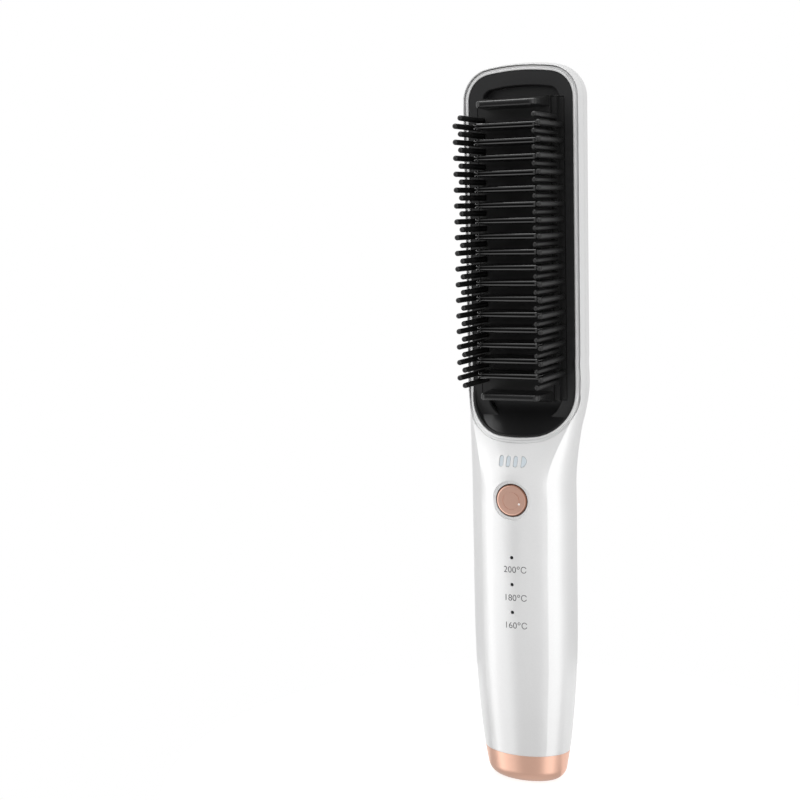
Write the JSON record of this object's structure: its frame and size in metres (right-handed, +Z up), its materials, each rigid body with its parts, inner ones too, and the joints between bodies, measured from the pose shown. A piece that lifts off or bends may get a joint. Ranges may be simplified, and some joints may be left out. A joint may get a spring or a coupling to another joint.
{
  "type": "cordless hot comb",
  "caption": "Cordless hot comb: oval handle with a push button and light windows, arched head with a scooped tray, heated fins between rows of round-tipped teeth.",
  "frame": {"origin": "middle of the end cap's flat bottom, on the handle's long axis, where the charging slot opens", "axes": "+Z up the handle to the head, the teeth point to -Y, +X to the right of someone who looks at the teeth"},
  "size_m": [0.043, 0.0388, 0.249],
  "materials": {
    "shell_white": "pearl gloss",
    "rose_gold": "metallised rose gold, satin",
    "tray_black": "gloss",
    "plate_black": "glossy black ceramic coat",
    "teeth_black": "gloss, heat-proof nylon",
    "light_guide": "translucent",
    "lamp_lens": "smoked clear",
    "heater_ceramic": "matte",
    "mica": "matte mica",
    "sheet_aluminium": "bare",
    "screw_steel": "zinc plated",
    "fuse_metal": "bare",
    "glass_bead": "clear amber",
    "glass_felt": "glass-fibre felt",
    "silicone_red": "silicone",
    "switch_black": "moulded",
    "board_green": "solder mask",
    "chip_black": "moulded",
    "led_lens": "clear",
    "cell_blue": "shrink sleeve",
    "tab_nickel": "nickel strip",
    "inner_plastic": "moulded",
    "socket_steel": "nickel plated"
  },
  "bodies": {
    "handle": {"front_shell": "shell_white", "rear_shell": "shell_white", "end_cap": "rose_gold", "head_tray": "tray_black", "heating_plate": "plate_black", "upper_end_bar": "tray_black", "lower_end_bar": "tray_black", "left_comb_strip": "teeth_black", "right_comb_strip": "teeth_black", "gauge_light_guide": "light_guide", "lamp_light_pipes": "lamp_lens", "ptc_heaters": "heater_ceramic", "mica_sheet": "mica", "heater_clamp": "sheet_aluminium", "clamp_screws": "screw_steel", "thermal_fuse": "fuse_metal", "thermistor": "glass_bead", "heat_blanket": "glass_felt", "heater_leads": "silicone_red", "shell_screws": "screw_steel", "switch_body": "switch_black", "main_board": "board_green", "board_components": "chip_black", "board_screws": "screw_steel", "gauge_leds": "led_lens", "lamp_board": "board_green", "lamp_leds": "led_lens", "battery_cell": "cell_blue", "battery_tabs": "tab_nickel", "battery_cradle": "inner_plastic", "socket_carrier": "inner_plastic", "carrier_screws": "screw_steel", "usb_c_socket": "socket_steel", "charge_board": "board_green"},
    "button": {"power_button": "rose_gold"},
    "plunger": {"switch_plunger": "switch_black"}
  },
  "joints": [
    {"name": "button_press", "type": "slide", "parent": "handle", "child": "button", "axis": [0, 1, 0], "range_m": [0, 0.0005], "stiffness_N_per_m": 600},
    {"name": "plunger_press", "type": "slide", "parent": "handle", "child": "plunger", "axis": [0, 1, 0], "range_m": [0, 0.0005]}
  ],
  "couplings": [
    {"joint": "plunger_press", "follows": "button_press", "ratio": 1}
  ]
}
